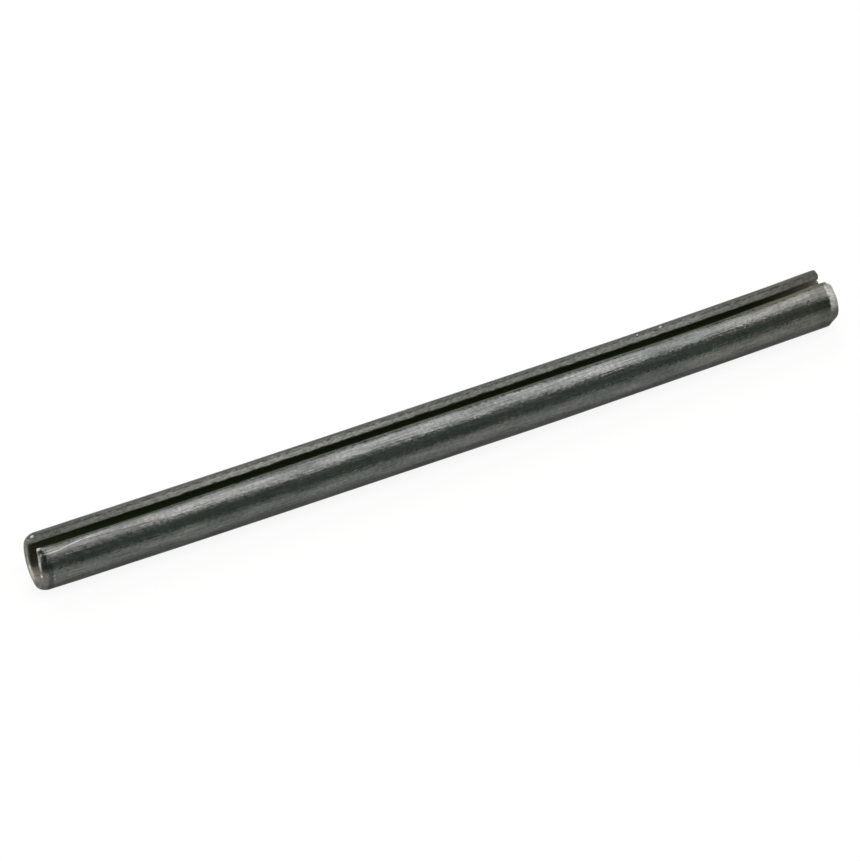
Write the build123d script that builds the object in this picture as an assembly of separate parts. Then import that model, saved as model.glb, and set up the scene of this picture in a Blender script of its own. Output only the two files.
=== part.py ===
from build123d import *
import os

# A slotted spring pin (spring roll pin): one strip of spring steel rolled into
# an open tube, which closes up as it is driven into its hole.
# Millimetres. The pin lies along X with its slot straight up, which is how it
# comes to rest, because the slot side is the lighter one. The origin is on the
# axis, at mid-length.

# Driving dimensions, for a 6 x 100 mm pin
LENGTH = 100.0
OUTER_DIAMETER = 6.65     # free, before it is driven into a 6 mm hole
WALL = 1.2                # thickness of the rolled strip
SLOT_WIDTH = 2.1          # gap between the strip's two long edges, free
EDGE_ROUND_OUTER = 0.16   # long edges of the strip, on the outside
EDGE_ROUND_INNER = 0.22   # long edges of the strip, on the bore side

# Swaged end, at -X: the wall is worked down to a blunt, round nose
NOSE_LENGTH = 1.05        # along the axis, on the outside
NOSE_DROP = 0.50          # from the outer surface in to the nose's crest
NOSE_BORE_LENGTH = 0.42   # along the axis, on the bore side

# Ground end, at +X: a plain cone and a narrow flat
CHAMFER_LENGTH = 1.15
CHAMFER_DROP = 0.62       # from the outer surface in to the flat
BORE_BREAK = 0.12         # small bevel between the flat and the bore

# The strip's four corners, at the two ends of the slot
CORNER_ROUND = 0.45       # three of them are worn round, seen from above
SHEAR_DEPTH = 0.90        # the +Y corner of the ground end is sheared off, so far
SHEAR_SIDE_SLOPE = 0.26   # along the axis at the slot, and less by these slopes
SHEAR_DOWN_SLOPE = 0.20   # for each millimetre sideways and downwards

OUTER_RADIUS = OUTER_DIAMETER / 2
BORE_RADIUS = OUTER_RADIUS - WALL
HALF_LENGTH = LENGTH / 2
HALF_SLOT = SLOT_WIDTH / 2
CLEAR = 1.0               # how far a trimming shape runs past the pin
SIDE = OUTER_RADIUS + CLEAR


def strip_section():
    """C-shaped section of the rolled strip across the axis, slot upwards."""
    with BuildSketch(Plane.YZ) as section:
        Circle(OUTER_RADIUS)
        Circle(BORE_RADIUS, mode=Mode.SUBTRACT)
        with Locations((0, SIDE / 2)):
            Rectangle(SLOT_WIDTH, SIDE, mode=Mode.SUBTRACT)
        bore_corners = section.vertices().sort_by(Axis.Y)[-4:-2]
        fillet(bore_corners, EDGE_ROUND_INNER)
        outer_corners = section.vertices().sort_by(Axis.Y)[-2:]
        fillet(outer_corners, EDGE_ROUND_OUTER)
    return section.sketch


def worked_ends():
    """Solid of revolution that the two worked ends leave: nose at -X, cone at +X."""
    crest_radius = OUTER_RADIUS - NOSE_DROP
    flat_radius = OUTER_RADIUS - CHAMFER_DROP
    core_radius = BORE_RADIUS - EDGE_ROUND_INNER
    nose_start = -HALF_LENGTH + NOSE_LENGTH
    bore_start = -HALF_LENGTH + NOSE_BORE_LENGTH
    break_start = HALF_LENGTH - BORE_BREAK - EDGE_ROUND_INNER
    with BuildSketch(Plane.XZ) as half:
        with BuildLine():
            EllipticalCenterArc((nose_start, crest_radius), NOSE_LENGTH, NOSE_DROP, 90, arc_size=90)
            EllipticalCenterArc(
                (bore_start, crest_radius),
                NOSE_BORE_LENGTH, crest_radius - core_radius, 180, arc_size=90,
            )
            Polyline(
                (bore_start, core_radius),
                (break_start, core_radius),
                (HALF_LENGTH, BORE_RADIUS + BORE_BREAK),
                (HALF_LENGTH, flat_radius),
                (HALF_LENGTH - CHAMFER_LENGTH, OUTER_RADIUS),
                (nose_start, OUTER_RADIUS),
            )
        make_face()
    return revolve(half.sketch, axis=Axis.X)


def worn_corner(x_end, y_lip):
    """What wear takes off one corner of the strip, as an upright prism."""
    x_in = x_end - CORNER_ROUND if x_end > 0 else x_end + CORNER_ROUND
    y_in = y_lip + CORNER_ROUND if y_lip > 0 else y_lip - CORNER_ROUND
    with BuildSketch() as gap:
        with Locations(((x_end + x_in) / 2, (y_lip + y_in) / 2)):
            Rectangle(CORNER_ROUND, CORNER_ROUND)
        with Locations((x_in, y_in)):
            Circle(CORNER_ROUND, mode=Mode.SUBTRACT)
    return extrude(gap.sketch, amount=SIDE)


def sheared_corner():
    """What the slanting shear cut takes off the +Y corner of the ground end."""
    lip = Vector(HALF_LENGTH - SHEAR_DEPTH, HALF_SLOT, OUTER_RADIUS)
    outward = Vector(1, -SHEAR_SIDE_SLOPE, SHEAR_DOWN_SLOPE)
    cut = Plane(origin=lip, z_dir=outward)
    beyond = extrude(cut * Rectangle(4 * SIDE, 4 * SIDE), amount=SIDE)
    lip_quarter = Pos(HALF_LENGTH, SIDE / 2, SIDE / 2) * Box(2 * SIDE, SIDE, SIDE)
    return beyond & lip_quarter


def spring_pin():
    """The whole pin: rolled strip, worked ends, and the strip's corners trimmed."""
    pin = extrude(strip_section(), amount=HALF_LENGTH, both=True) & worked_ends()
    pin -= worn_corner(-HALF_LENGTH, -HALF_SLOT)
    pin -= worn_corner(-HALF_LENGTH, HALF_SLOT)
    pin -= worn_corner(HALF_LENGTH, -HALF_SLOT)
    return pin - sheared_corner()


os.makedirs("parts", exist_ok=True)
export_step(spring_pin(), "parts/spring_pin.step")
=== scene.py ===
"""Slotted spring pin: one strip of spring steel rolled into an open tube, on a pale studio floor."""
from math import cos, pi, radians, sin
from types import SimpleNamespace

import bpy
from bpy.props import FloatProperty, FloatVectorProperty, IntProperty, PointerProperty
from mathutils import Matrix, Vector


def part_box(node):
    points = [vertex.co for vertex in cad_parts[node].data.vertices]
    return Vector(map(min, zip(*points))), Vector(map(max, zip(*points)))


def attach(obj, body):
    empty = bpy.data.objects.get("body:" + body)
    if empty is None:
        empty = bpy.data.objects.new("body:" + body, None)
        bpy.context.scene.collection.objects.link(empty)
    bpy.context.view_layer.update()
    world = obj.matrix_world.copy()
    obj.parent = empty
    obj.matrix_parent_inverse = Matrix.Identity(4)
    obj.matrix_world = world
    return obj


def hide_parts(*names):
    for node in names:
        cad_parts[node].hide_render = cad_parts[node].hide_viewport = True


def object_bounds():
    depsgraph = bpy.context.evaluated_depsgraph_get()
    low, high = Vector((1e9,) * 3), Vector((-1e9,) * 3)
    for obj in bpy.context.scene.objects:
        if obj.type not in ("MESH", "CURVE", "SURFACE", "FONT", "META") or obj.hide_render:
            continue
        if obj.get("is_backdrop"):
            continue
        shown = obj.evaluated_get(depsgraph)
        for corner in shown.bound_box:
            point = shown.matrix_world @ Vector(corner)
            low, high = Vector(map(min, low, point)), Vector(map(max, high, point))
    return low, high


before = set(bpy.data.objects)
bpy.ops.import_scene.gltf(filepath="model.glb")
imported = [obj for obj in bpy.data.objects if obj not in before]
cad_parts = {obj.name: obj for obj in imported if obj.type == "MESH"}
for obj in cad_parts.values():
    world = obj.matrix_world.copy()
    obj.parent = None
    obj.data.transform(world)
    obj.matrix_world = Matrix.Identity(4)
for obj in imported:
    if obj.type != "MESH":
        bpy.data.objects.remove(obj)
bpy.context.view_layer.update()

bl_info = {
    "name": "Slotted Spring Pin",
    "version": (1, 0, 0),
    "blender": (4, 5, 0),
    "location": "View3D > Sidebar > Spring Pin",
    "description": "Makes a rolled, slotted spring pin in oiled spring steel and the studio it lies in",
    "category": "Add Mesh",
}

MM = 0.001
NODE, SLOT = "spring_pin", "spring_steel"
# The kinds of node that are used most, beside the operations of the Math node
VECTOR, RAMP, MIX = "ShaderNodeVectorMath", "ShaderNodeMapRange", "ShaderNodeMix"
CURVE, NOISE = "ShaderNodeFloatCurve", "ShaderNodeTexNoise"
LOW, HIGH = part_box(NODE)
SENSOR_WIDTH = 36.0       # of the camera, in millimetres

# ------------------------------------------------- form of the strip, in metres

# Grid of the strip before it is rolled: segments along it, across it and through it
NOSE_SEGMENTS, SHANK_SEGMENTS, CHAMFER_SEGMENTS = 14, 470, 12
ARC_SEGMENTS, LIP_SEGMENTS = 27, 9
OUTER_SEGMENTS, INNER_SEGMENTS = 6, 5
LIP_ZONE = 0.6 * MM       # strip beside each slit edge that has the finer grid
LIP_GATHER, FACE_GATHER = 1.7, 1.5    # powers that draw the grid towards edges and faces
MERGE = 0.002 * MM        # points nearer than this become one
CRISP = radians(24)       # edges sharper than this are shaded crisp

# How flat each eased corner is, from a quarter ellipse (0) to a bevel (1)
ROUND, SWAGED, GROUND = 0.0, 0.3, 1.0
# The nose's front corner springs back out: by a share of the nose's drop, and by a rise
# that is gone after a length
EAR_SHARE, EAR_RISE, EAR_LENGTH = 0.8, 0.28 * MM, 2 * MM
# The ground cone beside the slot: a share of its length, between two shares of the arc, and
# how much deeper it goes on the front side, over a share of the arc
CONE_SHARE, CONE_START, CONE_END = 0.78, 0.05, 0.35
BITE_DEPTH, BITE_END = 0.30 * MM, 0.13
# Corner rounds at the nose as shares of Corner Round, and the front one at the ground end
NOSE_BACK_ROUND, NOSE_FRONT_ROUND, GROUND_FRONT_ROUND = 1.6, 0.2, 0.1 * MM
SHARP = 1e-9              # a round that leaves the corner as it is
TINY = 1e-6               # keeps a division from zero
# Nicks of the slit edges: their spacing, how far they reach from the edge and below the
# outside, and the noise where they start and where they are deepest
NICK_SPACING, NICK_REACH, NICK_DEEP = 0.9 * MM, 0.22 * MM, 0.30 * MM
NICK_START, NICK_FULL = 0.60, 0.80
DENT_LONG, DENT_WIDE = 9 * MM, 2.4 * MM     # soft dents of the wall
SEED_STEP, SIDE_STEP = 17.3, 5.0            # how far seeds and sides lie apart in the noise
# The rolls' flats: their number, and the turn from the slot's middle to a ridge between two.
# They fade to a share towards both ends of the strip, and to another in the bore
FLATS, FLATS_START = 6, radians(88.6)
FLATS_END_SHARE, FLATS_END_START, FLATS_END_STOP = 0.35, 0.5 * MM, 4 * MM
FLATS_BORE_SHARE, FLATS_BORE_START, FLATS_BORE_STOP = 0.2, 0.3 * MM, 0.9 * MM
# The sheared corner: it stops between two heights of the tube, where the cut runs out by a
# length, its two faces blend over a small one, and what lies beyond is pressed nearly flat
SHEAR_TOP, SHEAR_FOOT, SHEAR_RUN_OUT = 0.6 * MM, -0.6 * MM, 1.2 * MM
SHEAR_BLEND, PRESSED = 0.04 * MM, 0.02
# The nose's lean: the place across that it leaves as it is, how long it takes to fade, and
# the front lip that stays back by a little, between two turns from the slot's middle
LEAN_PIVOT, LEAN_FADE = 1.5 * MM, 3 * MM
SHY_BY, SHY_START, SHY_END = 0.17 * MM, 0.6, 0.95

# How the tube closed up and bent as it was rolled, from the ground end (0) to the nose (1):
# shares of the waist, of the front slit edge's drift and of the bow. Each has a mean, which
# stands for no change
WAIST_LINE = ((0, 0), (0.02, 0.15), (0.07, 0.8), (0.14, 0.95), (0.21, 1), (0.30, 0.55), (0.40, 0), (1, 0))
LIP_DRIFT_LINE = (
    (0, 0), (0.025, 0), (0.055, 0.24), (0.10, 0.3), (0.17, 0.5), (0.28, 0.31), (0.38, 0.15),
    (0.49, 0.2), (0.70, 0.38), (0.81, 0.56), (0.88, 0.75), (1, 0.75))
BOW_LINE = (
    (0, 1), (0.025, 0.918), (0.05, 0.78), (0.10, 0.548), (0.15, 0.364), (0.20, 0.238), (0.27, 0.108),
    (0.38, 0.012), (0.45, 0.085), (0.60, 0.174), (0.75, 0.31), (0.90, 0.64), (1, 0.94))
WAIST_MEAN, LIP_DRIFT_MEAN, BOW_MEAN = 0.25, 0.4, 0.44

# ------------------------------- finish of the strip, in millimetres on the flat strip
# Across it, 0 is the far side of the tube, and the front slit edge lies at about -9.4

# Noise of the steel: its grain along the strip, across it and through it, and its detail
GRAINS = {
    "clouds": ((6, 1.3, 2), 3.0),          # scale left by hardening
    "lines": ((6, 0.18, 0.3), 3.0),        # rolling lines, drawn as coarse as they need to show
    "specks": ((0.55, 0.17, 0.2), 2.0),    # speckle of scale and oil
    "blots": ((0.5, 0.3, 0.28), 3.0),      # stains and tears of the slit edges
    "chips": ((0.7, 0.3, 0.3), 1.0),       # chips of the corners
    "marks": ((0.38, 0.9, 0.3), 2.0),      # faint marks of the rolls across the pin
    "stains": ((1.2, 0.5, 0.4), 2.0),      # brownish oil stains
}
LOW_NOISE, HIGH_NOISE = 0.3, 0.7     # between these lies nearly all of a noise
TONES = {"lines": 0.26, "specks": 0.18, "marks": 0.14}    # how much each darkens and lightens
TEMPER = (1.03, 1.0, 0.94, 1.0)      # faintly brown, where grinding warmed the steel

# How clean the slit edges are, from the ground end (0) to the nose (1)
CLEAN_LINE = (
    (0, 0.26), (0.03, 0.32), (0.07, 0.53), (0.12, 0.57), (0.20, 0.78), (0.35, 0.76), (0.5, 0.76), (0.62, 1),
    (0.72, 1), (0.82, 0.85), (0.91, 0.58), (0.94, 0.57), (0.97, 0.38), (1, 0.34))
# How bright the steel is beside the front slit edge, in the same way
FRONT_LINE = (
    (0, 0.9), (0.03, 0.88), (0.07, 0.72), (0.12, 0.62), (0.17, 0.8), (0.25, 1), (0.6, 1), (0.70, 0.72),
    (0.78, 0.68), (0.85, 0.78), (0.92, 0.75), (1, 0.62))
# A bright scratch beside it, over a length behind the nose: shares of how far it strays from
# its place, away from the edge
SCRATCH_LINE = ((0, 0.15), (0.03, 0.4), (0.09, 0.97), (0.2, 0.98), (0.33, 0.73), (0.49, 0.37), (1, 0.05))
SCRATCH_PLACE, SCRATCH_STRAY, SCRATCH_LENGTH = -8.82, 0.55, 10
# A dark groove behind the nose, which draws away from that edge: two distances from the
# nose, and how far across it lies at each
GROOVE_RUN, GROOVE_ACROSS, GROOVE_SHADE = (6.3, 13.7), (-8.48, -8.09), 0.62
LINE_CORE, GROOVE_RIM, SCRATCH_RIM = 0.03, 0.11, 0.12    # half widths: full, and faded out
# Dull and dark patches, some of them painted shade: a shade, and ramps that bound it. A
# ramp is a coordinate, where it is empty and where it is full
PATCHES = (
    # painted shade before the ground cone, where the dark reflection rises near the end
    (0.68, ("from_ground", 3.4, 2.2), ("across", -8.9, -8.3)),
    # painted shade along the underside: the floor's contact shadow, as the steel reflects it, painted dark
    (0.85, ("across", -4.6, -4.3), ("across", 2.0, 0.0)),
    # darker along the shank behind the nose, dimming its highlight
    (0.70, ("from_nose", 14.0, 8.0), ("across", -8.6, -8.2), ("across", -7.2, -7.9)),
)
# The nose's shoulder lies this far behind its swaged length, and dark scale before it, partly painted shade
# of the nose's cone
SHOULDER_BEHIND, SCALE_SHADE = 0.3, 0.6
# Burr on the slit edges, partly painted shade of their rounded outer corners: how ragged it
# is, and how much wider and lighter it is on the front edge's last stretch before the ground end
BURR_RAGGED, BURR_WIDER, BURR_LIGHTER = 0.09, 0.14, 0.08
# Bright knocks on the corners, partly chips of bare steel and partly painted glints: from the nose, across,
# depth and radius
KNOCKS = (
    (0.40, 9.37, 0.10, 0.42), (0.15, -9.30, 0.25, 0.50), (0.10, -5.68, 0.50, 0.24),
    (76.1, 9.37, 0.05, 0.16), (79.05, 9.37, 0.05, 0.22))
# Knocks are painted pale and matt: a painted glint over the bare chips
KNOCK_GLINT_SHADE, KNOCK_ROUGH, KNOCK_METAL = 2.2, 0.6, 0.2    # they are pale and matt
# Roughness: more and less than the oiled outside's in its clouds, and of the other surfaces
ROUGHER, SMOOTHER = 0.05, 0.04
SLIT_ROUGH, BORE_ROUGH, BARE_ROUGH = 0.65, 0.5, 0.34
METALLIC, METAL_TINT = 0.9, (0.45, 0.45, 0.45, 1.0)
BUMP_STRENGTH, BUMP_HEIGHT = 0.9, 0.016 * MM
BUMPS = {"lines": 1.0, "specks": 0.6, "marks": 4.0}    # how high each noise stands, in that height


def hexed(code):
    """A colour from its sRGB hex code, as linear red, green, blue and alpha."""
    parts = [int(code[i:i + 2], 16) / 255 for i in (1, 3, 5)]
    return tuple(p / 12.92 if p <= 0.04045 else ((p + 0.055) / 1.055) ** 2.4 for p in parts) + (1.0,)


def draw_line(mapping, line):
    """Gives a node's curve the points of a line."""
    points = mapping.curves[0].points
    for x, y in line[1:-1]:
        points.new(x, y)
    points[0].location, points[-1].location = line[0], line[-1]
    mapping.update()


def add(tree, kind, *feeds, line=None, **settings):
    """Adds one node. A kind in capitals is an operation of the Math node. Settings are the
    node's properties, and a line is its curve. Feeds go to its inputs in order, or by name
    from one dictionary; each is a value, a socket, or a node for its first output."""
    if kind.isupper():
        kind, settings = "ShaderNodeMath", {"operation": kind, **settings}
    made = tree.nodes.new(kind)
    for key, value in settings.items():
        setattr(made, key, value)
    if line:
        draw_line(made.mapping, line)
    if feeds and isinstance(feeds[0], dict):
        pairs = [(made.inputs[key], feed) for key, feed in feeds[0].items()]
    else:
        pairs = list(zip([s for s in made.inputs if s.enabled], feeds))
    for socket, feed in pairs:
        if isinstance(feed, bpy.types.Node):
            feed = next(s for s in feed.outputs if s.enabled)
        if isinstance(feed, bpy.types.NodeSocket):
            tree.links.new(feed, socket)
        elif feed is not None:
            socket.default_value = feed
    return made


def overlap(tree, *parts):
    """Mask that is full where all these parts overlap: their product. A part is a mask, a
    strength or a size, or a ramp: a value, where it is empty and where it is full, or two
    places and its strength at each."""
    mask = None
    for part in parts:
        if isinstance(part, tuple):
            part = add(tree, RAMP, *part)
        mask = part if mask is None else add(tree, "MULTIPLY", mask, part)
    return mask


def labels(group):
    """Each value of a property group with its name as a user sees it."""
    return {key: group.bl_rna.properties[key].name for key in type(group).__annotations__}


# ---------------------------------------------------------------- properties

PLAIN = {}
LENGTH = {"unit": "LENGTH", "subtype": "DISTANCE"}
SMALL = {"unit": "LENGTH", "subtype": "DISTANCE", "precision": 6}
ANGLE = {"unit": "ROTATION", "subtype": "ANGLE"}
COLOUR = {"subtype": "COLOR", "size": 4, "min": 0, "max": 1}
FACTOR = {"subtype": "FACTOR", "min": 0, "max": 1}


def field(look, name, description, default):
    """A number of a property group, shown as its look says, or a colour from its hex code."""
    if look is COLOUR:
        return FloatVectorProperty(name=name, description=description, default=hexed(default), **look)
    return FloatProperty(name=name, description=description, default=default, **look)


class SPRINGPIN_PG_sizes(bpy.types.PropertyGroup):
    """Sizes of the pin, in metres."""
    length: field(SMALL, "Length", "Along the axis, nose to ground end", HIGH.x - LOW.x)
    outer_diameter: field(SMALL, "Outer Diameter", "Across the rolled tube, free", HIGH.y - LOW.y)
    wall: field(SMALL, "Wall", "Thickness of the strip", 1.2 * MM)
    slot_width: field(SMALL, "Slot Width", "Gap between the strip's two long edges", 2.1 * MM)
    edge_outside: field(SMALL, "Edge Round Outside", "Rounding of the strip's long edges, outside", 0.16 * MM)
    edge_bore: field(SMALL, "Edge Round Bore", "Rounding of the strip's long edges, in the bore", 0.22 * MM)
    nose_length: field(SMALL, "Nose Length", "Swaged end, along the axis", 1.05 * MM)
    nose_drop: field(SMALL, "Nose Drop", "Swaged end, from the outside in to its crest", 0.50 * MM)
    nose_bore: field(SMALL, "Nose Bore Length", "Swaged end, along the axis in the bore", 0.42 * MM)
    chamfer_length: field(SMALL, "Chamfer Length", "Ground end, along the axis", 1.15 * MM)
    chamfer_drop: field(SMALL, "Chamfer Drop", "Ground end, from the outside in to its flat", 0.62 * MM)
    bore_break: field(SMALL, "Bore Break", "Small bevel between the ground flat and the bore", 0.12 * MM)
    corner_round: field(
        SMALL, "Corner Round", "Rounding of the strip's corners at the slot's ends", 0.45 * MM)
    shear_depth: field(
        SMALL, "Shear Depth", "How far one corner of the ground end is sheared off, outside", 1.05 * MM)
    shear_inside: field(
        SMALL, "Shear Depth Inside", "How far the same corner is sheared off in the bore", 0.70 * MM)
    shear_side: field(PLAIN, "Shear Side Slope", "Run along the axis for each unit sideways", 0.20)
    shear_down: field(
        PLAIN, "Shear Down Slope", "Run along the axis for each unit down, near the outside", 0.47)
    nose_lean: field(
        PLAIN, "Nose Lean", "How far the nose's end leans along the axis, for each unit sideways", 0.07)
    bow: field(SMALL, "Bow", "How far the pin's ends lie behind its middle", 0.50 * MM)
    waist: field(SMALL, "Waist", "How much the radius shrinks where the tube closed up most", 0.063 * MM)
    out_of_round: field(
        SMALL, "Out of Round", "Height of the soft flats that the rolls leave round the tube", 0.048 * MM)
    lip_drift: field(SMALL, "Lip Drift", "How far the front slit edge strays from a straight line", 0.36 * MM)
    uneven: field(SMALL, "Unevenness", "Height of the soft dents and waves of the rolled wall", 0.012 * MM)
    nick: field(SMALL, "Nick Depth", "Deepest nicks along the slot's outer edges", 0.09 * MM)
    seed: IntProperty(name="Seed", description="Chooses the dents and nicks", default=4, min=0)


class SPRINGPIN_PG_finish(bpy.types.PropertyGroup):
    """Colours and gloss of the steel."""
    steel: field(COLOUR, "Oiled Steel", "Hardened and oiled outside of the strip", "#6f6e6d")
    steel_dark: field(COLOUR, "Dark Scale", "Darker scale left in clouds by hardening", "#535555")
    stain: field(COLOUR, "Oil Stain", "Brownish stains where oil has dried", "#665c4e")
    slit: field(COLOUR, "Slit Edge", "The strip's slit edges, brownish and matt", "#dedad7")
    slit_dark: field(COLOUR, "Slit Edge Stain", "Darker blotches on the slit edges", "#aaa6a1")
    # Burr colour, also painted as the shade of the slit edges' rounded outer corners
    burr: field(COLOUR, "Burr", "Dark burr along the outer corner of the slit edges", "#4c4d43")
    bore: field(COLOUR, "Bore", "Inside of the tube, black with oil", "#39432a")
    bore_end: field(COLOUR, "Bore Ends", "Inside of the tube near its ends, brown with dried oil", "#2e2b20")
    # The bore's open ends are painted in this lighter colour: painted light falling in from outside
    mouth: field(COLOUR, "Bore Mouth", "Inside of the nose, where the oil has worn off", "#a39687")
    sheared: field(COLOUR, "Sheared Face", "The slanting cut at the ground end", "#5b5b47")
    bare: field(COLOUR, "Bare Steel", "Bright ground chamfer and worn edges", "#928f8d")
    roughness: field(FACTOR, "Roughness", "Roughness of the oiled outside", 0.22)


class SPRINGPIN_PG_studio(bpy.types.PropertyGroup):
    """Floor, lamp and camera."""
    floor_colour: field(COLOUR, "Floor Colour", "Plain pale floor", "#fafaf6")
    floor_size: field(LENGTH, "Floor Size", "Side of the square floor", 6.0)
    floor_glow: field(FACTOR, "Floor Whiteness", "Share of plain white in the floor as it is seen", 1.0)
    floor_glow_gloss: field(
        FACTOR, "Floor Whiteness in Metal", "Share of plain white in the floor as metal shows it", 0.22)
    floor_roughness: field(FACTOR, "Floor Roughness", "Roughness of the floor's satin face", 0.25)
    key_width: field(LENGTH, "Key Lamp Width", "Soft lamp overhead, along the pin", 1.05)
    key_depth: field(LENGTH, "Key Lamp Depth", "Soft lamp overhead, from its front to its back", 1.18)
    key_height: field(LENGTH, "Key Lamp Height", "Soft lamp above the floor", 0.9)
    key_forward: field(LENGTH, "Key Lamp Forward", "Middle of the soft lamp in front of the pin", 0.59)
    key_right: field(
        LENGTH, "Key Lamp Right", "Middle of the soft lamp to the right of the pin's middle", 0.40)
    fill_back: field(LENGTH, "Fill Lamp Back", "Middle of the overhead lamp behind, from the pin", 0.85)
    fill_depth: field(LENGTH, "Fill Lamp Depth", "Overhead lamp behind, from its front to its back", 0.8)
    fill_share: field(
        FACTOR, "Fill Lamp Share", "Brightness of the overhead lamp behind, against the others", 0.9)
    nose_left: field(
        LENGTH, "Nose Lamp Left", "Middle of the overhead lamp beyond the nose, from the pin", 1.25)
    nose_width: field(LENGTH, "Nose Lamp Width", "Overhead lamp beyond the nose, along the pin", 1.0)
    nose_depth: field(
        LENGTH, "Nose Lamp Depth", "Overhead lamp beyond the nose, from its front to its back", 1.2)
    back_share: field(
        FACTOR, "Back Lamp Share", "Brightness of the standing lamp behind, against the others", 0.3)
    side_height: field(LENGTH, "Side Lamp Height", "Height of the lamps that stand round the pin", 0.42)
    right_width: field(LENGTH, "Right Lamp Width", "Lamp at the ground end, from side to side", 1.5)
    left_width: field(LENGTH, "Left Lamp Width", "Lamps at the nose and behind, from side to side", 1.3)
    side_distance: field(LENGTH, "Side Lamp Distance", "Standing lamps from the pin's middle", 1.0)
    side_back: field(
        LENGTH, "Side Lamp Back", "Left lamp behind the pin's line, and right lamp before it", 0.12)
    glare: FloatProperty(
        name="Lamp Brightness", description="Radiance of the lamps, where white is 1", default=2.7, min=0)
    room: field(COLOUR, "Room", "Dim room round the floor", "#566859")
    swing: field(ANGLE, "Camera Swing", "Camera's turn towards the nose end", radians(18.0))
    height_angle: field(
        ANGLE, "Camera Elevation", "Camera's angle above the floor, square to the pin", radians(43.5))
    roll: field(ANGLE, "View Roll", "Pin's slope in the view", radians(18.62))
    distance: field(LENGTH, "Camera Distance", "Camera to the pin's middle", 1.704)
    aim_right: field(SMALL, "Aim Right", "Middle of the view to the right of the pin's middle", -0.57 * MM)
    aim_up: field(SMALL, "Aim Up", "Middle of the view above the pin's middle", -0.088 * MM)
    lens: FloatProperty(
        name="Lens", description="Focal length in millimetres",
        default=628.5, min=1, max=5000)


# ------------------------------------------------------------- geometry nodes

def eased_corner():
    """Node group that eases one corner of a section: to a quarter ellipse, or to a flat
    bevel. It takes a point's distances from the corner's two sides and gives new ones."""
    tree = bpy.data.node_groups.new("Eased Corner", "GeometryNodeTree")
    for name in ("Across", "Down", "Across Size", "Down Size", "Bevel"):
        tree.interface.new_socket(name, in_out="INPUT", socket_type="NodeSocketFloat")
    for name in ("Across", "Down"):
        tree.interface.new_socket(name, in_out="OUTPUT", socket_type="NodeSocketFloat")
    across, down, across_size, down_size, bevel = add(tree, "NodeGroupInput").outputs[:5]
    near_across = add(tree, RAMP, across, 0.0, across_size, 1.0, 0.0)
    near_down = add(tree, RAMP, down, 0.0, down_size, 1.0, 0.0)
    square = add(tree, "MULTIPLY", near_across, near_across)
    square = add(tree, "MULTIPLY_ADD", near_down, near_down, square)
    round_reach = add(tree, "SQRT", square)
    flat_reach = add(tree, "ADD", near_across, near_down)
    reach = add(tree, MIX, bevel, round_reach, flat_reach)
    reach = add(tree, "MAXIMUM", reach, TINY)
    larger = add(tree, "MAXIMUM", near_across, near_down)
    keep = add(tree, "DIVIDE", larger, reach)
    pull = add(tree, "SUBTRACT", 1.0, keep)
    ends = []
    for near, size, value in ((near_across, across_size, across), (near_down, down_size, down)):
        depth = add(tree, "MULTIPLY", near, size)
        ends.append(add(tree, "MULTIPLY_ADD", depth, pull, value))
    add(tree, "NodeGroupOutput", *ends)
    return tree


def ease(tree, corner, across, down, sizes, bevel, wall=None):
    """Eases one corner of the strip and gives the new distances from its two sides. Where
    the wall is given, the distance down is a depth and the corner is the bore's."""
    if wall is not None:
        down = add(tree, "SUBTRACT", wall, down)
    eased = add(tree, "GeometryNodeGroup", across, down, *sizes, bevel, node_tree=corner).outputs
    across, down = eased["Across"], eased["Down"]
    if wall is not None:
        down = add(tree, "SUBTRACT", wall, down)
    return across, down


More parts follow.
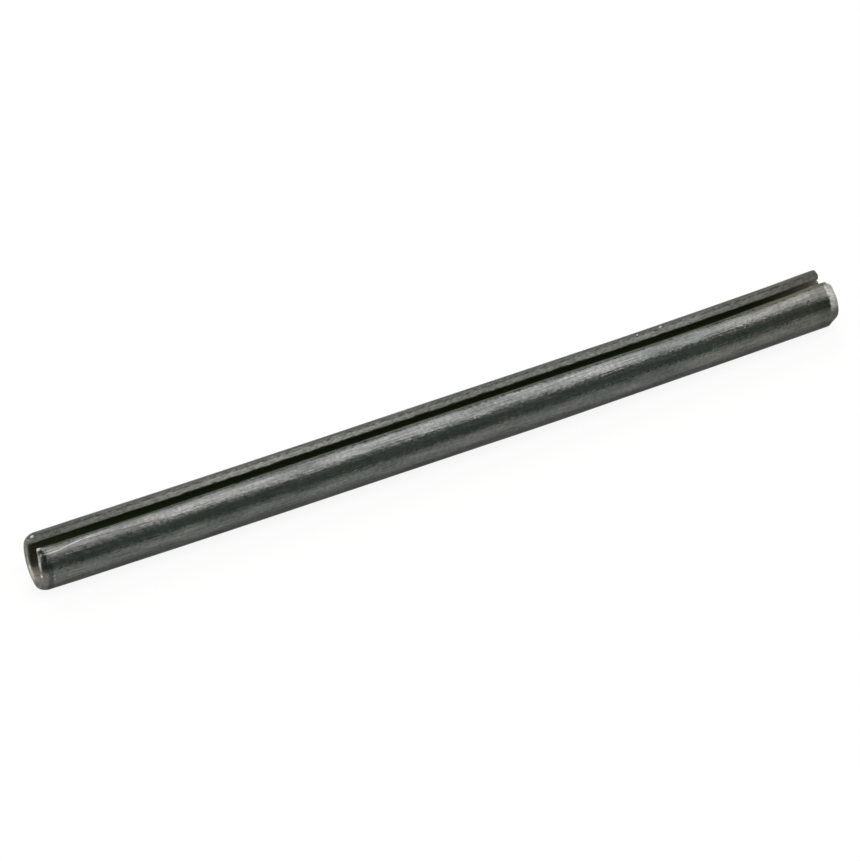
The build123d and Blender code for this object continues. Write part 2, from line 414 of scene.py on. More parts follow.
def strip_grid(tree, sizes):
    """The strip as a grid box, and where each of its points is: how far from the nose, on
    which side of the slot, round the arc, from the slit edge, and below the outside."""
    along_count = NOSE_SEGMENTS + SHANK_SEGMENTS + CHAMFER_SEGMENTS
    side_count = ARC_SEGMENTS + LIP_SEGMENTS
    depth_count = OUTER_SEGMENTS + INNER_SEGMENTS
    strip = SimpleNamespace(corner=eased_corner())
    strip.mesh = add(
        tree, "GeometryNodeMeshCube", (along_count, 2 * side_count, depth_count),
        along_count + 1, 2 * side_count + 1, depth_count + 1)
    index = add(tree, "ShaderNodeSeparateXYZ", add(tree, "GeometryNodeInputPosition")).outputs

    # From the nose: a fine stretch, the long shank, and the chamfer's stretch
    row = add(tree, "ADD", index["X"], along_count / 2)
    shank = sizes["Length"]
    for end in ("Nose Length", "Chamfer Length"):
        shank = add(tree, "SUBTRACT", shank, sizes[end])
    strip.from_nose, start = 0.0, 0
    for count, stretch in (
        (NOSE_SEGMENTS, sizes["Nose Length"]), (SHANK_SEGMENTS, shank),
        (CHAMFER_SEGMENTS, sizes["Chamfer Length"]),
    ):
        part = add(tree, RAMP, row, start, start + count, 0.0, stretch)
        strip.from_nose = add(tree, "ADD", part, strip.from_nose)
        start += count

    # Side of the slot, the share of the arc to go to the far side, and the slit edge
    strip.side = add(tree, "SIGN", index["Y"])
    strip.front = add(tree, "LESS_THAN", strip.side, 0.0)
    column = add(tree, "ABSOLUTE", index["Y"])
    strip.arc = add(tree, RAMP, column, 0.0, ARC_SEGMENTS, 1.0, 0.0)
    edge = add(tree, RAMP, column, ARC_SEGMENTS, side_count, 1.0, 0.0)
    edge = add(tree, "POWER", edge, LIP_GATHER)
    strip.edge = add(tree, "MULTIPLY", edge, LIP_ZONE)

    # Depth below the outside, with the grid closer together near both faces of the strip
    level = add(tree, "ADD", index["Z"], depth_count / 2)
    outer = add(tree, RAMP, level, 0.0, OUTER_SEGMENTS, 0.0, 1.0)
    outer = add(tree, "POWER", outer, FACE_GATHER)
    outer = add(tree, "MULTIPLY", outer, sizes["Chamfer Drop"])
    inner = add(tree, RAMP, level, OUTER_SEGMENTS, depth_count, 1.0, 0.0)
    inner = add(tree, "POWER", inner, FACE_GATHER)
    inner = add(tree, "SUBTRACT", 1.0, inner)
    core = add(tree, "SUBTRACT", sizes["Wall"], sizes["Chamfer Drop"])
    strip.depth = add(tree, "MULTIPLY_ADD", inner, core, outer)
    return strip


def ease_edges(tree, sizes, strip):
    """Rounds the strip's long edges, outside and in the bore."""
    for name, bore in (("Edge Round Outside", None), ("Edge Round Bore", sizes["Wall"])):
        size = sizes[name]
        strip.edge, strip.depth = ease(
            tree, strip.corner, strip.edge, strip.depth, (size, size), ROUND, bore)


def swage_nose(tree, sizes, strip):
    """Swages the nose: outside to its crest, then from the crest into the bore. Its front
    corner springs back out and stands up as a small ear."""
    strip.ear = overlap(tree, (strip.edge, 0.0, LIP_ZONE, EAR_SHARE, 0.0), strip.front)
    drop = add(tree, RAMP, strip.ear, 0.0, 1.0, sizes["Nose Drop"], 0.0)
    crest = add(tree, "SUBTRACT", sizes["Wall"], sizes["Nose Drop"])
    for reach, bevel, bore in (
        ((sizes["Nose Length"], drop), SWAGED, None),
        ((sizes["Nose Bore Length"], crest), ROUND, sizes["Wall"]),
    ):
        strip.from_nose, strip.depth = ease(
            tree, strip.corner, strip.from_nose, strip.depth, reach, bevel, bore)


def grind_end(tree, sizes, strip):
    """Grinds the other end: a cone outside, shorter and deeper beside the slot, and a small
    bevel in the bore."""
    cone = overlap(tree, (strip.arc, CONE_START, CONE_END, CONE_SHARE, 1.0), sizes["Chamfer Length"])
    bite = add(tree, RAMP, strip.arc, 0.0, BITE_END, BITE_DEPTH, 0.0, interpolation_type="SMOOTHSTEP")
    drop = add(tree, "MULTIPLY_ADD", bite, strip.front, sizes["Chamfer Drop"])
    size = sizes["Bore Break"]
    strip.from_ground = add(tree, "SUBTRACT", sizes["Length"], strip.from_nose)
    for reach, bore in (((cone, drop), None), ((size, size), sizes["Wall"])):
        strip.from_ground, strip.depth = ease(
            tree, strip.corner, strip.from_ground, strip.depth, reach, GROUND, bore)


def wear_corners(tree, sizes, strip):
    """Wears the strip's corners: both at the nose, the back one much more, and the front one
    at the ground end."""
    length, corner = sizes["Length"], strip.corner
    worn = overlap(tree, (strip.front, 0.0, 1.0, NOSE_BACK_ROUND, NOSE_FRONT_ROUND), sizes["Corner Round"])
    from_nose = add(tree, "SUBTRACT", length, strip.from_ground)
    from_nose, edge = ease(tree, corner, from_nose, strip.edge, (worn, worn), ROUND)
    from_ground = add(tree, "SUBTRACT", length, from_nose)
    worn = add(tree, RAMP, strip.front, 0.0, 1.0, SHARP, GROUND_FRONT_ROUND)
    strip.from_ground, strip.edge = ease(tree, corner, from_ground, edge, (worn, worn), ROUND)


def nick_edges(tree, sizes, strip):
    """Nicks bite the outer corner of both slit edges, here and there."""
    strip.seed = add(tree, "MULTIPLY", sizes["Seed"], SEED_STEP)
    spot = add(tree, "MULTIPLY", strip.from_ground, 1 / NICK_SPACING)
    row = add(tree, "MULTIPLY_ADD", strip.side, SIDE_STEP, strip.seed)
    spot = add(tree, "ShaderNodeCombineXYZ", spot, row, 0.0)
    bites = add(tree, NOISE, {"Vector": spot, "Scale": 1.0, "Detail": 2.0, "Roughness": 0.6})
    bite = overlap(
        tree, (bites, NICK_START, NICK_FULL), (strip.edge, 0.0, NICK_REACH, 1.0, 0.0),
        (strip.depth, 0.0, NICK_DEEP, 1.0, 0.0), sizes["Nick Depth"])
    strip.depth = add(tree, "ADD", strip.depth, bite)
    strip.edge = add(tree, "ADD", strip.edge, bite)


def roll_up(tree, sizes, strip):
    """Turns each point of the strip round the X axis. The slot's faces stay parallel, so the
    angle to the edge depends on the radius."""
    length = sizes["Length"]
    strip.outer_radius = add(tree, "DIVIDE", sizes["Outer Diameter"], 2.0)
    strip.half_slot = add(tree, "DIVIDE", sizes["Slot Width"], 2.0)
    strip.half_length = add(tree, "DIVIDE", length, 2.0)
    strip.radius = add(tree, "SUBTRACT", strip.outer_radius, strip.depth)
    strip.reached = add(tree, "DIVIDE", strip.from_ground, length)
    drift = add(tree, CURVE, 1.0, strip.reached, line=LIP_DRIFT_LINE)
    drift = add(tree, "SUBTRACT", drift, LIP_DRIFT_MEAN)
    drift = add(tree, "MULTIPLY", drift, strip.front)
    gap = add(tree, "MULTIPLY_ADD", drift, sizes["Lip Drift"], strip.half_slot)
    opening = add(tree, "DIVIDE", gap, strip.radius)
    opening = add(tree, "ARCSINE", opening)
    zone = add(tree, "DIVIDE", LIP_ZONE, strip.radius)
    rest = add(tree, "SUBTRACT", pi, opening)
    rest = add(tree, "SUBTRACT", rest, zone)
    turn = add(tree, "DIVIDE", strip.edge, strip.radius)
    turn = add(tree, "ADD", turn, opening)
    strip.turn = add(tree, "MULTIPLY_ADD", rest, strip.arc, turn)
    strip.along = add(tree, "SUBTRACT", strip.half_length, strip.from_ground)
    across = add(tree, "SUBTRACT", pi, strip.turn)
    across = add(tree, "MULTIPLY", across, strip.outer_radius)
    strip.across = add(tree, "MULTIPLY", across, strip.side)


def swell_wall(tree, sizes, strip):
    """Gives the wall its dents, waist, flats and ear, and places each point up and out."""
    # Soft dents and waves, long along the strip and short across it
    dents = add(tree, "ShaderNodeCombineXYZ", strip.along, strip.across, 0.0)
    dents = add(tree, VECTOR, dents, (1 / DENT_LONG, 1 / DENT_WIDE, 1.0), operation="MULTIPLY")
    chosen = add(tree, "ShaderNodeCombineXYZ", strip.seed, 0.0, 0.0)
    dents = add(tree, VECTOR, dents, chosen, operation="ADD")
    dents = add(tree, NOISE, {"Vector": dents, "Scale": 1.0, "Detail": 2.0})
    dents = add(tree, RAMP, dents, 0.25, 0.75, -1.0, 1.0, clamp=False)
    radius = add(tree, "MULTIPLY_ADD", dents, sizes["Unevenness"], strip.radius)
    girth = add(tree, CURVE, 1.0, strip.reached, line=WAIST_LINE)
    girth = add(tree, "SUBTRACT", girth, WAIST_MEAN)
    girth = add(tree, "MULTIPLY", girth, sizes["Waist"])
    radius = add(tree, "SUBTRACT", radius, girth)

    # The rolls' flats fade towards both ends and in the bore
    ridges = add(tree, "MULTIPLY_ADD", strip.turn, FLATS, -FLATS * FLATS_START)
    ridges = add(tree, "COSINE", ridges)
    inward = add(tree, "ABSOLUTE", strip.along)
    inward = add(tree, "SUBTRACT", strip.half_length, inward)
    ridges = overlap(
        tree, ridges, (inward, FLATS_END_START, FLATS_END_STOP, FLATS_END_SHARE, 1.0),
        (strip.depth, FLATS_BORE_START, FLATS_BORE_STOP, 1.0, FLATS_BORE_SHARE))
    radius = add(tree, "MULTIPLY_ADD", ridges, sizes["Out of Round"], radius)
    from_nose = add(tree, "SUBTRACT", sizes["Length"], strip.from_ground)
    sprung = add(tree, RAMP, from_nose, 0.0, EAR_LENGTH, EAR_RISE, 0.0)
    radius = add(tree, "MULTIPLY_ADD", sprung, strip.ear, radius)

    up = add(tree, "COSINE", strip.turn)
    strip.up = add(tree, "MULTIPLY", up, radius)
    out = add(tree, "SINE", strip.turn)
    out = add(tree, "MULTIPLY", out, radius)
    strip.out = add(tree, "MULTIPLY", out, strip.side)


def shear_corner(tree, sizes, strip):
    """The slanting shear cut at the ground end, on the back side of the slot only: it slopes
    in towards the outside of the wall and stands nearly square in the bore."""
    down = add(tree, "SUBTRACT", strip.outer_radius, strip.up)
    aside = add(tree, "SUBTRACT", strip.out, strip.half_slot)
    faces = []
    for run, slope, depth in (
        (down, "Shear Down Slope", "Shear Depth"), (aside, "Shear Side Slope", "Shear Depth Inside"),
    ):
        face = add(tree, "SUBTRACT", strip.half_length, sizes[depth])
        faces.append(add(tree, "MULTIPLY_ADD", run, sizes[slope], face))
    limit = add(tree, "MINIMUM", *faces)
    spare = add(tree, RAMP, strip.up, SHEAR_TOP, SHEAR_FOOT, 0.0, SHEAR_RUN_OUT)
    limit = add(tree, "ADD", limit, spare)
    spare = add(tree, "MULTIPLY", strip.front, sizes["Length"])
    limit = add(tree, "ADD", limit, spare)
    strip.sheared = add(tree, "GREATER_THAN", strip.along, limit)
    # What lies beyond the cut is pressed flat onto it, in its own order
    beyond = add(tree, "SUBTRACT", strip.along, limit)
    beyond = add(tree, "MAXIMUM", beyond, 0.0)
    along = add(tree, "SMOOTH_MIN", strip.along, limit, SHEAR_BLEND)
    strip.along = add(tree, "MULTIPLY_ADD", beyond, PRESSED, along)


def bend(tree, sizes, strip):
    """Bends the pin and leans its nose, and gives the place of each point."""
    # The bow lies flat on the floor: the middle is nearer the front than the ends
    bowed = add(tree, CURVE, 1.0, strip.reached, line=BOW_LINE)
    bowed = add(tree, "SUBTRACT", bowed, BOW_MEAN)
    out = add(tree, "MULTIPLY_ADD", bowed, sizes["Bow"], strip.out)

    # The nose's end leans: its front reaches further than its back, but for the lip
    lean = add(tree, "SUBTRACT", out, LEAN_PIVOT)
    lean = add(tree, "MULTIPLY", lean, sizes["Nose Lean"])
    shy = add(tree, RAMP, strip.turn, SHY_START, SHY_END, SHY_BY, 0.0)
    lean = add(tree, "MULTIPLY_ADD", shy, strip.front, lean)
    behind = add(tree, "ADD", strip.along, strip.half_length)
    behind = add(tree, RAMP, behind, 0.0, LEAN_FADE, 1.0, 0.0)
    leaned = add(tree, "MULTIPLY_ADD", lean, behind, strip.along)
    return add(tree, "ShaderNodeCombineXYZ", leaned, out, strip.up)


def rolled_pin(group):
    """Node tree of the pin: a grid box becomes a flat strip with eased edges and worked
    ends, and the strip is rolled round the X axis until its long edges face each other."""
    tree = bpy.data.node_groups.new("Rolled Spring Pin", "GeometryNodeTree")
    tree.interface.new_socket("Geometry", in_out="OUTPUT", socket_type="NodeSocketGeometry")
    for name in labels(group).values():
        kind = "NodeSocketInt" if name == "Seed" else "NodeSocketFloat"
        tree.interface.new_socket(name, in_out="INPUT", socket_type=kind)
    tree.interface.new_socket("Steel", in_out="INPUT", socket_type="NodeSocketMaterial")
    sizes = add(tree, "NodeGroupInput").outputs
    strip = strip_grid(tree, sizes)
    for work in (ease_edges, swage_nose, grind_end, wear_corners, nick_edges, roll_up, swell_wall,
                 shear_corner):
        work(tree, sizes, strip)
    place = bend(tree, sizes, strip)

    # Where a point is on the flat strip, for the steel's patterns
    flat = add(tree, "ShaderNodeCombineXYZ", strip.along, strip.across, strip.depth)
    mesh = strip.mesh
    for name, value, kind in (
        ("strip", flat, "FLOAT_VECTOR"), ("edge", strip.edge, "FLOAT"), ("sheared", strip.sheared, "FLOAT"),
    ):
        mesh = add(tree, "GeometryNodeStoreNamedAttribute",
                   {"Geometry": mesh, "Name": name, "Value": value}, data_type=kind, domain="POINT")
    mesh = add(tree, "GeometryNodeSetPosition", {"Geometry": mesh, "Position": place})
    mesh = add(tree, "GeometryNodeMergeByDistance", {"Geometry": mesh, "Distance": MERGE})
    mesh = add(tree, "GeometryNodeSetShadeSmooth", {"Geometry": mesh, "Shade Smooth": True})
    fold = add(tree, "GeometryNodeInputMeshEdgeAngle").outputs[0]
    crisp = add(tree, "GREATER_THAN", fold, CRISP)
    mesh = add(tree, "GeometryNodeSetShadeSmooth",
               {"Geometry": mesh, "Selection": crisp, "Shade Smooth": False}, domain="EDGE")
    mesh = add(tree, "GeometryNodeRealizeInstances", {"Geometry": mesh})
    mesh = add(tree, "GeometryNodeSetMaterial", {"Geometry": mesh, "Material": sizes["Steel"]})
    add(tree, "NodeGroupOutput", {"Geometry": mesh})
    return tree


def grown(name, tree, values):
    """Runs a node tree with these input values and keeps its result as a plain mesh."""
    piece = bpy.data.objects.new(name, bpy.data.meshes.new(name))
    bpy.context.scene.collection.objects.link(piece)
    modifier = piece.modifiers.new(name, "NODES")
    modifier.node_group = tree
    for socket in tree.interface.items_tree:
        if socket.in_out == "INPUT":
            modifier[socket.identifier] = values[socket.name]
    seen = piece.evaluated_get(bpy.context.evaluated_depsgraph_get())
    mesh = bpy.data.meshes.new_from_object(seen)
    piece.modifiers.clear()
    piece.data = mesh
    mesh.name = name
    return piece


# ------------------------------------------------------------------ materials

def strip_places(tree, sizes):
    """Where a point is on the flat strip, in millimetres, with the noises of its steel."""
    flat = add(tree, "ShaderNodeAttribute", attribute_name="strip").outputs["Vector"]
    flat = add(tree, VECTOR, flat, (1 / MM, 1 / MM, 1 / MM), operation="MULTIPLY")
    along, across, depth = add(tree, "ShaderNodeSeparateXYZ", flat).outputs
    edge = add(tree, "ShaderNodeAttribute", attribute_name="edge").outputs["Fac"]
    half = sizes.length / 2 / MM
    noise = {}
    for name, (grain, detail) in GRAINS.items():
        grains = add(tree, VECTOR, flat, [1 / size for size in grain], operation="MULTIPLY")
        noise[name] = add(tree, NOISE,
                          {"Vector": grains, "Scale": 1.0, "Detail": detail, "Roughness": 0.55})
    return SimpleNamespace(
        flat=flat, along=along, across=across, depth=depth, noise=noise,
        from_nose=add(tree, "ADD", along, half),
        from_ground=add(tree, "SUBTRACT", half, along),
        reached=add(tree, RAMP, along, half, -half, 0.0, 1.0),
        front=add(tree, "LESS_THAN", across, 0.0),
        edge=add(tree, "MULTIPLY", edge, 1 / MM),
        outside=add(tree, RAMP, depth, 0.3, 0.6, 1.0, 0.0))


def darkened(tree, colour, mask, shade):
    """A colour that is multiplied by a shade where the mask is full."""
    shade = add(tree, RAMP, mask, 0.0, 1.0, 1.0, shade)
    return add(tree, VECTOR, colour, shade, operation="MULTIPLY")


def near_line(tree, value, line, core, rim):
    """Mask of a line's nearness: full within the core's half width, and gone at the rim's."""
    away = add(tree, "SUBTRACT", value, line)
    away = add(tree, "ABSOLUTE", away)
    return add(tree, RAMP, away, core, rim, 1.0, 0.0)


def outside_colour(tree, finish, sizes, at):
    """The oiled outside: cloudy scale, rolling lines, stains, and its dull and dark patches, some of them
    painted shade.
    """
    noise = at.noise
    tone = add(tree, RAMP, noise["clouds"], LOW_NOISE, HIGH_NOISE)
    colour = add(tree, MIX, tone, finish.steel_dark, finish.steel, data_type="RGBA")
    for name, depth in TONES.items():
        shade = add(tree, RAMP, noise[name], LOW_NOISE, HIGH_NOISE, 1 - depth, 1 + depth)
        colour = add(tree, VECTOR, colour, shade, operation="MULTIPLY")
    stain = add(tree, RAMP, noise["stains"], 0.52, 0.70, 0.0, 0.2)
    colour = add(tree, MIX, stain, colour, finish.stain, data_type="RGBA")
    warmed = add(tree, RAMP, at.from_ground, 20.0, 4.0)
    temper = add(tree, MIX, warmed, (1.0, 1.0, 1.0, 1.0), TEMPER, data_type="RGBA")
    colour = add(tree, VECTOR, colour, temper, operation="MULTIPLY")

    # Dark scale before the nose's shoulder, partly painted shade of the nose's cone, and steel rubbed lighter
    # beside the back slit edge
    start = add(tree, RAMP, at.across, -6.5, -6.0, 0.15, 0.65)
    past = add(tree, "SUBTRACT", at.from_nose, start)
    shoulder = sizes.nose_length / MM + SHOULDER_BEHIND
    scale = overlap(
        tree, (past, 0.0, 0.15), (at.from_nose, shoulder, shoulder - 0.12), (at.across, -8.3, -7.9))
    colour = darkened(tree, colour, scale, SCALE_SHADE)
    back = add(tree, "SUBTRACT", 1.0, at.front)
    rubbed = overlap(tree, (at.edge, 0.2, 0.6, 0.08, 0.0), back)
    colour = add(tree, MIX, rubbed, colour, finish.bare, data_type="RGBA")

    # Duller steel beside the front slit edge, towards both ends, and the other patches, some of them painted
    # shade
    beside = add(tree, RAMP, at.across, -8.75, -8.55, 1.0, 0.0)
    colour = darkened(tree, colour, beside, add(tree, CURVE, 1.0, at.reached, line=FRONT_LINE))
    for shade, *bounds in PATCHES:
        patch = overlap(tree, *[(getattr(at, axis), empty, full) for axis, empty, full in bounds])
        colour = darkened(tree, colour, patch, shade)
    line = add(tree, RAMP, at.from_nose, *GROOVE_RUN, *GROOVE_ACROSS, clamp=False)
    groove = near_line(tree, at.across, line, LINE_CORE, GROOVE_RIM)
    groove = overlap(tree, groove, (at.from_nose, 2.0, 5.0), (at.from_nose, 19.0, 14.0))
    return darkened(tree, colour, groove, GROOVE_SHADE)


def slit_layer(tree, finish, at):
    """The slit edges between the two faces of the strip, blotched, with a ragged dark burr on
    their outer corners, partly painted shade of the rounded corners, that bright chips break. Gives masks and
    colours."""
    noise = at.noise
    slit = add(tree, RAMP, at.edge, 0.01, 0.06, 1.0, 0.0)
    blot = add(tree, RAMP, noise["blots"], 0.36, 0.62)
    blotched = add(tree, MIX, blot, finish.slit_dark, finish.slit, data_type="RGBA")
    clean = add(tree, CURVE, 1.0, at.reached, line=CLEAN_LINE)
    blotched = add(tree, VECTOR, blotched, clean, operation="MULTIPLY")

    reach = add(tree, "ADD", at.edge, at.depth)
    ragged = add(tree, RAMP, noise["chips"], LOW_NOISE, HIGH_NOISE, -BURR_RAGGED, BURR_RAGGED)
    reach = add(tree, "ADD", reach, ragged)
    # On the front edge's last stretch before the ground end it is whole, wider and lighter
    whole = overlap(tree, (at.from_ground, 14.0, 8.0), at.front)
    reach = add(tree, "MULTIPLY_ADD", whole, -BURR_WIDER, reach)
    broken = add(tree, RAMP, noise["chips"], 0.35, 0.62, 0.9, 0.45)
    broken = add(tree, "MAXIMUM", broken, whole)
    # Dark burr, partly painted shade of the rounded outer corners of both slit edges
    burr = overlap(tree, (reach, 0.22, 0.34, 1.0, 0.0), broken)
    lighter = add(tree, "MULTIPLY", whole, BURR_LIGHTER)
    dark = add(tree, MIX, lighter, finish.burr, finish.slit_dark, data_type="RGBA")
    chip = overlap(tree, (noise["blots"], 0.64, 0.68), (reach, 0.24, 0.30, 1.0, 0.0))
    return slit, blotched, burr, dark, chip


def bore_layer(tree, finish, sizes, at):
    """The bore, from just inside the wall: browner near both ends, and painted lighter inside both open ends,
    where light falls in.
    """
    wall = sizes.wall / MM
    wander = add(tree, RAMP, at.noise["stains"], LOW_NOISE, HIGH_NOISE, -0.10, 0.10)
    from_middle = add(tree, "ABSOLUTE", at.along)
    deeper = add(tree, RAMP, from_middle, 24.0, 44.0, 0.0, -0.2)
    wander = add(tree, "ADD", wander, deeper)
    bore = add(tree, "ADD", at.depth, wander)
    bore = add(tree, RAMP, bore, wall - 0.36, wall - 0.22)
    # Painted light: the inside of the nose's mouth, and a little of the ground end's, painted lighter where
    # light falls in
    mouth = overlap(tree, (at.from_nose, 3.0, 0.5), (at.across, 2.4, 0.3))
    open_end = add(tree, RAMP, at.from_ground, 9.0, 1.2, 0.0, 0.32)
    mouth = add(tree, "MAXIMUM", mouth, open_end)
    brown = add(tree, RAMP, at.from_ground, 14.0, 2.0)
    at_nose = add(tree, RAMP, at.from_nose, 4.0, 1.0)
    brown = add(tree, "MAXIMUM", brown, at_nose)
    inside = add(tree, MIX, brown, finish.bore, finish.bore_end, data_type="RGBA")
    inside = add(tree, MIX, mouth, inside, finish.mouth, data_type="RGBA")
    return bore, inside


def bare_places(tree, sizes, at, chip):
    """Bare metal: the front of the ground cone, the nose's crest, shoulder and tip, a scratch,
    chips and knocks; the cone's front, the shoulder and the knocks are partly painted highlights. Gives masks
    of all of it, of the knocks and of the tip."""
    noise, from_nose, across = at.noise, at.from_nose, at.across
    # The ground cone is painted bare only on its upper front, where its highlight falls: a painted highlight;
    # below, it keeps the oiled colour
    wander = add(tree, RAMP, noise["stains"], LOW_NOISE, HIGH_NOISE, -0.12, 0.12)
    start = add(tree, "SUBTRACT", at.from_ground, wander)
    border = sizes.chamfer_length / MM
    cone = overlap(tree, (start, border + 0.06, border - 0.04), (across, -5.3, -6.4))

    drop = sizes.nose_drop / MM
    inward = add(tree, RAMP, at.depth, drop, drop + 0.15, 0.10, 0.42)
    past = add(tree, "SUBTRACT", from_nose, inward)
    wider = add(tree, RAMP, across, 5.5, 7.5, -0.28, 0.0)
    inner = add(tree, "ADD", at.depth, wider)
    crest = overlap(tree, (past, -0.05, 0.05, 0.8, 0.0), (inner, 0.80, 0.95, 1.0, 0.0))
    # A bright line low on the front of the nose's shoulder: a painted highlight, drawn as bare steel
    shoulder = near_line(tree, from_nose, sizes.nose_length / MM + SHOULDER_BEHIND, 0.07, 0.18)
    shoulder = overlap(tree, shoulder, 0.6, (across, -6.0, -5.6), (across, -4.4, -4.8), at.outside)

    # A bright scratch from the nose's ear along the front slit edge
    behind = add(tree, RAMP, from_nose, 0.0, SCRATCH_LENGTH)
    stray = add(tree, CURVE, 1.0, behind, line=SCRATCH_LINE)
    stray = add(tree, "MULTIPLY_ADD", stray, SCRATCH_STRAY, SCRATCH_PLACE)
    scratch = near_line(tree, across, stray, LINE_CORE, SCRATCH_RIM)
    scratch = overlap(tree, scratch, 0.75, (behind, 1.0, 0.35), at.outside)

    # Knocks, and the mouth's lower rim rubbed light: partly bare chips and wear, partly painted glints
    knocks_and_glints = overlap(tree, (across, -0.8, 0.2, 0.0, 0.6), (across, 3.0, 1.4), crest)
    for behind, sideways, below, radius in KNOCKS:
        spot = (behind - sizes.length / 2 / MM, sideways, below)
        away = add(tree, VECTOR, at.flat, spot, operation="DISTANCE").outputs["Value"]
        knock = add(tree, RAMP, away, radius, 0.6 * radius)
        knocks_and_glints = add(tree, "MAXIMUM", knocks_and_glints, knock)
    # The front of the nose's cone is rubbed grey through its scale
    tip = overlap(tree, (noise["specks"], 0.35, 0.65, 0.2, 0.5), (from_nose, 0.75, 0.55),
                  (across, -6.3, -5.9), at.outside)
    bare = cone
    for part in (crest, shoulder, chip, scratch, knocks_and_glints, tip):
        bare = add(tree, "MAXIMUM", bare, part)
    return bare, knocks_and_glints, tip


def oiled_spring_steel(finish, sizes):
    """Cold-rolled spring steel strip, hardened, tempered and oiled. The eye gets a dark,
    satin, cloudy metal with fine lines along the pin, brownish chipped slit edges,
    a bore black with oil, and bright bare metal where the end was ground."""
    material = bpy.data.materials.new("oiled_spring_steel")
    material.use_nodes = True
    tree = material.node_tree
    tree.nodes.clear()
    at = strip_places(tree, sizes)
    noise = at.noise
    sheared = add(tree, "ShaderNodeAttribute", attribute_name="sheared").outputs["Fac"]
    slit, blotched, burr, dark, chip = slit_layer(tree, finish, at)
    bore, inside = bore_layer(tree, finish, sizes, at)
    bare, knocks_and_glints, tip = bare_places(tree, sizes, at, chip)

    # Colours, each over those before it
    shade = add(tree, RAMP, noise["chips"], 0.35, 0.65, 0.72, 1.18)
    # Bare steel painted darker lower down the front of the pin, away from the front slit edge: painted shade
    shade = overlap(tree, shade, (at.across, -8.2, -6.2, 1.02, 0.82))
    # Knocks and the mouth's lower rim are painted pale: painted glints
    shade = add(tree, MIX, knocks_and_glints, shade, KNOCK_GLINT_SHADE)
    bright = add(tree, VECTOR, finish.bare[:3], shade, operation="MULTIPLY")
    colour = outside_colour(tree, finish, sizes, at)
    for mask, layer in (
        (slit, blotched), (burr, dark), (bore, inside), (sheared, finish.sheared), (bare, bright),
    ):
        colour = add(tree, MIX, mask, colour, layer, data_type="RGBA")

    # Roughness and metal: slit edges, burr, cut and bore are matt under their oil
    cut = add(tree, "MAXIMUM", slit, burr)
    cut = add(tree, "MAXIMUM", cut, sheared)
    rubbed = add(tree, "MAXIMUM", knocks_and_glints, tip)
    rough = add(tree, RAMP, noise["clouds"], LOW_NOISE, HIGH_NOISE,
                finish.roughness + ROUGHER, finish.roughness - SMOOTHER)
    for mask, roughness in (
        (cut, SLIT_ROUGH), (bore, BORE_ROUGH), (bare, BARE_ROUGH), (rubbed, KNOCK_ROUGH),
    ):
        rough = add(tree, MIX, mask, rough, roughness)
    matt = add(tree, "MAXIMUM", cut, bore)
    covered = add(tree, "SUBTRACT", 1.0, bare)
    matt = add(tree, "MULTIPLY", matt, covered)
    metal = add(tree, RAMP, matt, 0.0, 1.0, METALLIC, 0.0)
    metal = add(tree, MIX, knocks_and_glints, metal, KNOCK_METAL)

    height = 0.0
    for name, share in BUMPS.items():
        height = add(tree, "MULTIPLY_ADD", noise[name], share, height)
    bump = add(tree, "ShaderNodeBump",
               {"Strength": BUMP_STRENGTH, "Distance": BUMP_HEIGHT, "Height": height})
    shader = add(tree, "ShaderNodeBsdfPrincipled",
                 {"Base Color": colour, "Metallic": metal, "Roughness": rough,
                  "Specular Tint": METAL_TINT, "Normal": bump})
    add(tree, "ShaderNodeOutputMaterial", shader)
    return material


def pale_floor(studio):
    """White laminate with a satin face: an even white, with the soft shadow of what lies on
    it, that turns to a dull mirror where it is looked along."""
    material = bpy.data.materials.new("white_laminate")
    material.use_nodes = True
    tree = material.node_tree
    tree.nodes.clear()
    rays = add(tree, "ShaderNodeLightPath").outputs
    straight = add(tree, "SUBTRACT", 1.0, add(tree, "ShaderNodeFresnel"))
    straight = add(tree, "MULTIPLY", straight, straight)
    gloss = add(tree, "MAXIMUM", rays["Is Glossy Ray"], rays["Is Transmission Ray"])
    gloss = overlap(tree, gloss, studio.floor_glow_gloss, straight)
    seen = add(tree, "MULTIPLY_ADD", rays["Is Camera Ray"], studio.floor_glow, gloss)
    share = add(tree, "MULTIPLY", seen, straight)
    matt = add(tree, "ShaderNodeBsdfPrincipled",
               {"Base Color": studio.floor_colour, "Roughness": studio.floor_roughness})
    white = add(tree, "ShaderNodeEmission", {"Color": (1, 1, 1, 1), "Strength": 1.0})
    add(tree, "ShaderNodeOutputMaterial", add(tree, "ShaderNodeMixShader", share, matt, white))
    return material


# --------------------------------------------------------------------- studio

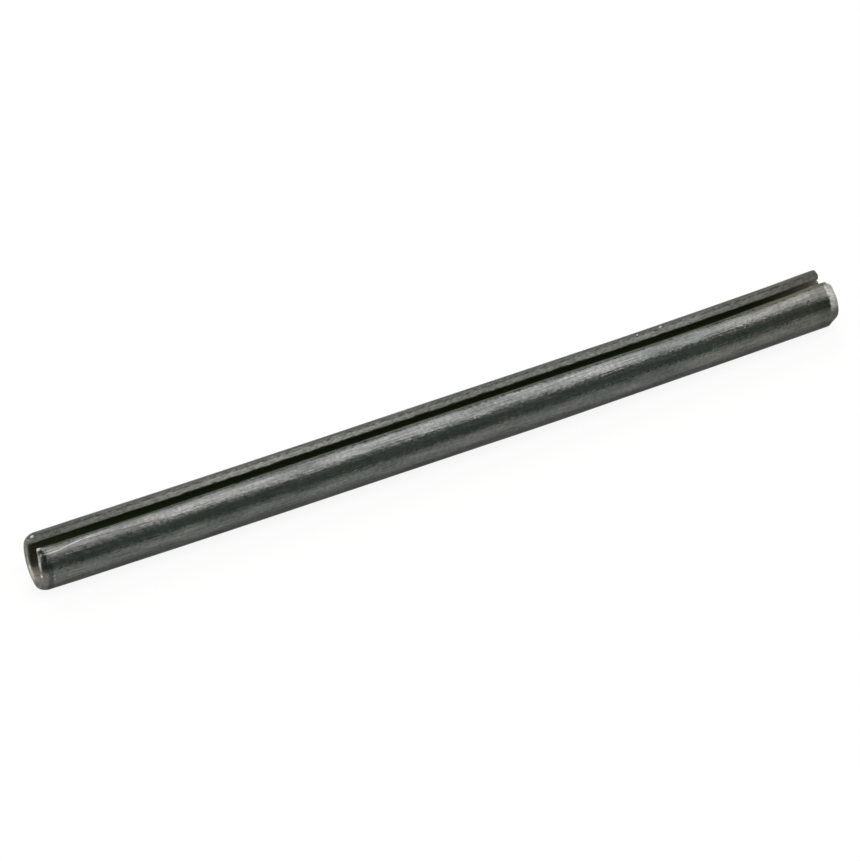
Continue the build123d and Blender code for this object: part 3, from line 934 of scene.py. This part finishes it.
def lay_floor(scene, studio, level):
    """A square of pale floor at this height."""
    half = studio.floor_size / 2
    corners = [(-half, -half, level), (half, -half, level), (half, half, level), (-half, half, level)]
    mesh = bpy.data.meshes.new("floor")
    mesh.from_pydata(corners, [], [(0, 1, 2, 3)])
    mesh.materials.append(pale_floor(studio))
    floor = bpy.data.objects.new("floor", mesh)
    scene.collection.objects.link(floor)
    floor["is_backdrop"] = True


def hang_lamps(scene, studio, level):
    """Soft lamps overhead, and lamps that stand round the pin and face it. They are equally
    bright, but for their shares."""
    high, wide, tall = studio.key_height, studio.key_width, studio.side_height
    aside, back, standing = studio.side_distance, studio.side_back, level + tall / 2
    for name, place, width, depth, share in (
        ("key_lamp", (studio.key_right, -studio.key_forward, high), wide, studio.key_depth, 1.0),
        ("fill_lamp", (0, studio.fill_back, high), wide, studio.fill_depth, studio.fill_share),
        ("nose_lamp", (-studio.nose_left, 0, high), studio.nose_width, studio.nose_depth, 1.0),
        ("back_lamp", (0, aside, standing), studio.left_width, tall, studio.back_share),
        ("right_lamp", (aside, -back, standing), studio.right_width, tall, 1.0),
        ("left_lamp", (-aside, back, standing), studio.left_width, tall, 1.0),
    ):
        light = bpy.data.lights.new(name, "AREA")
        light.shape, light.size, light.size_y = "RECTANGLE", width, depth
        light.energy = share * studio.glare * pi * width * depth
        lamp = bpy.data.objects.new(name, light)
        lamp.location = place
        if place[2] < high:
            side = Vector((place[0], 0 if place[0] else place[1], 0))
            lamp.rotation_euler = side.to_track_quat("Z", "Y").to_euler()
        scene.collection.objects.link(lamp)


def dim_room(scene, studio):
    """One dim colour all round."""
    world = bpy.data.worlds.new("dim_room")
    world.use_nodes = True
    world.node_tree.nodes.clear()
    room = add(world.node_tree, "ShaderNodeBackground", {"Color": studio.room, "Strength": 1.0})
    add(world.node_tree, "ShaderNodeOutputWorld", room)
    scene.world = world


def place_camera(scene, studio):
    """A camera that looks down at the pin from its front and its nose's side."""
    data = bpy.data.cameras.new("camera")
    data.lens, data.sensor_width = studio.lens, SENSOR_WIDTH
    camera = bpy.data.objects.new("camera", data)
    tilt, swing, roll = studio.height_angle, studio.swing, studio.roll
    back = Vector((-sin(swing), -cos(swing) * cos(tilt), cos(swing) * sin(tilt)))
    pin_line = (Vector((1, 0, 0)) - back * back.x).normalized()
    pin_up = back.cross(pin_line)
    right = pin_line * cos(roll) - pin_up * sin(roll)
    up = pin_line * sin(roll) + pin_up * cos(roll)
    turn = Matrix((right, up, back)).transposed()
    place = back * studio.distance + right * studio.aim_right + up * studio.aim_up
    camera.matrix_world = Matrix.Translation(place) @ turn.to_4x4()
    scene.collection.objects.link(camera)
    scene.camera = camera


# ------------------------------------------------------------------ operators

class SPRINGPIN_OT_pin(bpy.types.Operator):
    """Make the rolled pin in oiled spring steel"""
    bl_idname = "springpin.make_pin"
    bl_label = "Make Spring Pin"

    def execute(self, context):
        sizes, finish = context.scene.springpin_sizes, context.scene.springpin_finish
        values = {name: getattr(sizes, key) for key, name in labels(sizes).items()}
        values["Steel"] = oiled_spring_steel(finish, sizes)
        pin = grown("rolled_pin", rolled_pin(sizes), values)
        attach(pin, "root")
        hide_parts(NODE)
        return {"FINISHED"}


class SPRINGPIN_OT_studio(bpy.types.Operator):
    """Lay the pale floor, hang the soft lamps and place the camera"""
    bl_idname = "springpin.make_studio"
    bl_label = "Make Studio"

    def execute(self, context):
        scene, studio = context.scene, context.scene.springpin_studio
        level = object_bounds()[0][2]
        lay_floor(scene, studio, level)
        hang_lamps(scene, studio, level)
        dim_room(scene, studio)
        place_camera(scene, studio)
        scene.view_settings.view_transform = "Standard"
        return {"FINISHED"}


class SPRINGPIN_PT_panel(bpy.types.Panel):
    """Sizes, finish and studio of the spring pin"""
    bl_idname = "SPRINGPIN_PT_panel"
    bl_label = "Spring Pin"
    bl_space_type = "VIEW_3D"
    bl_region_type = "UI"
    bl_category = "Spring Pin"

    def draw(self, context):
        for operator, group in (
            (SPRINGPIN_OT_pin, context.scene.springpin_sizes),
            (None, context.scene.springpin_finish),
            (SPRINGPIN_OT_studio, context.scene.springpin_studio),
        ):
            box = self.layout.box()
            for key in labels(group):
                box.prop(group, key)
            if operator:
                box.operator(operator.bl_idname)


GROUPS = {
    "springpin_sizes": SPRINGPIN_PG_sizes, "springpin_finish": SPRINGPIN_PG_finish,
    "springpin_studio": SPRINGPIN_PG_studio,
}
CLASSES = (*GROUPS.values(), SPRINGPIN_OT_pin, SPRINGPIN_OT_studio, SPRINGPIN_PT_panel)


def register():
    for kind in CLASSES:
        bpy.utils.register_class(kind)
    for name, group in GROUPS.items():
        setattr(bpy.types.Scene, name, PointerProperty(type=group))


def unregister():
    for name in GROUPS:
        delattr(bpy.types.Scene, name)
    for kind in reversed(CLASSES):
        bpy.utils.unregister_class(kind)


def main():
    """Registers the add-on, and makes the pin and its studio."""
    register()
    bpy.ops.springpin.make_pin()
    bpy.ops.springpin.make_studio()


if __name__ == "__main__":
    main()
